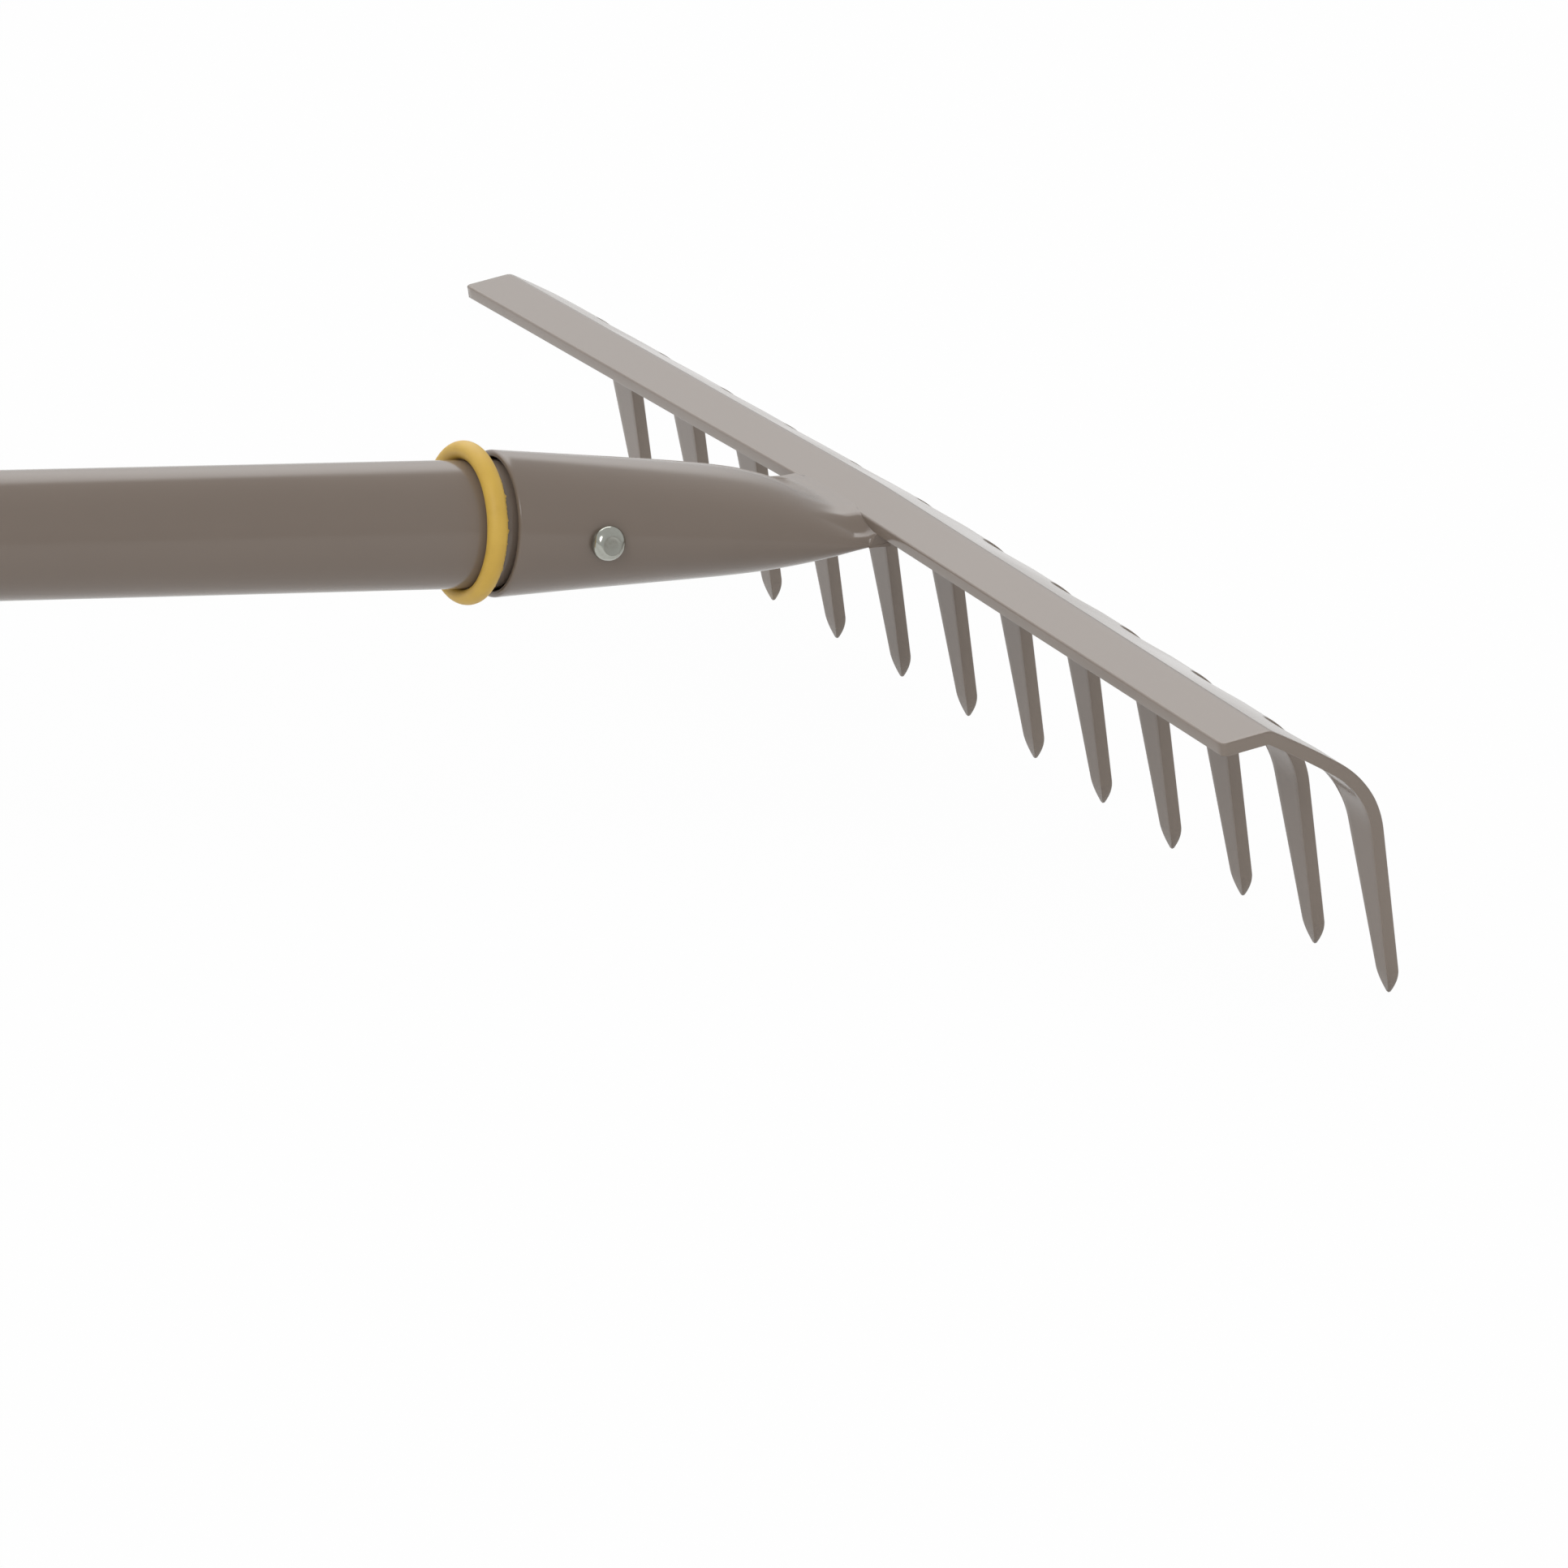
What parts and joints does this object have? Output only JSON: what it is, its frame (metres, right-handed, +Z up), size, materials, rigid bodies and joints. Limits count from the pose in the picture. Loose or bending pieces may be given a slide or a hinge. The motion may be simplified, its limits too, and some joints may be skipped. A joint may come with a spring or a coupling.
{
  "type": "soil rake",
  "caption": "Garden soil rake: stamped head with pointed tines bent down, flattened tube socket welded under it, riveted steel tube handle, loose rubber ring.",
  "frame": {"origin": "on the ground under the middle of the whole rake, which lies on its tine tips and its end cap", "axes": "+X from the end cap towards the head, +Y across the head, +Z up, with the tines pointing down"},
  "size_m": [1.5312, 0.3522, 0.0619],
  "materials": {
    "taupe_paint": "semi-gloss",
    "zinc_steel": "bright zinc",
    "yellow_rubber": "satin",
    "black_plastic": "satin"
  },
  "bodies": {
    "rake": {"tine_bar": "taupe_paint", "socket": "taupe_paint", "weld_bead": "taupe_paint", "weld_bead_under": "taupe_paint", "handle_tube": "taupe_paint", "rivet": "zinc_steel", "end_cap": "black_plastic"},
    "ring": {"rubber_ring": "yellow_rubber"}
  },
  "joints": [
    {"name": "ring_slide", "type": "slide", "parent": "rake", "child": "ring", "axis": [-0.9997, 0, -0.0228], "range_m": [-0.0022, 1.372]}
  ]
}
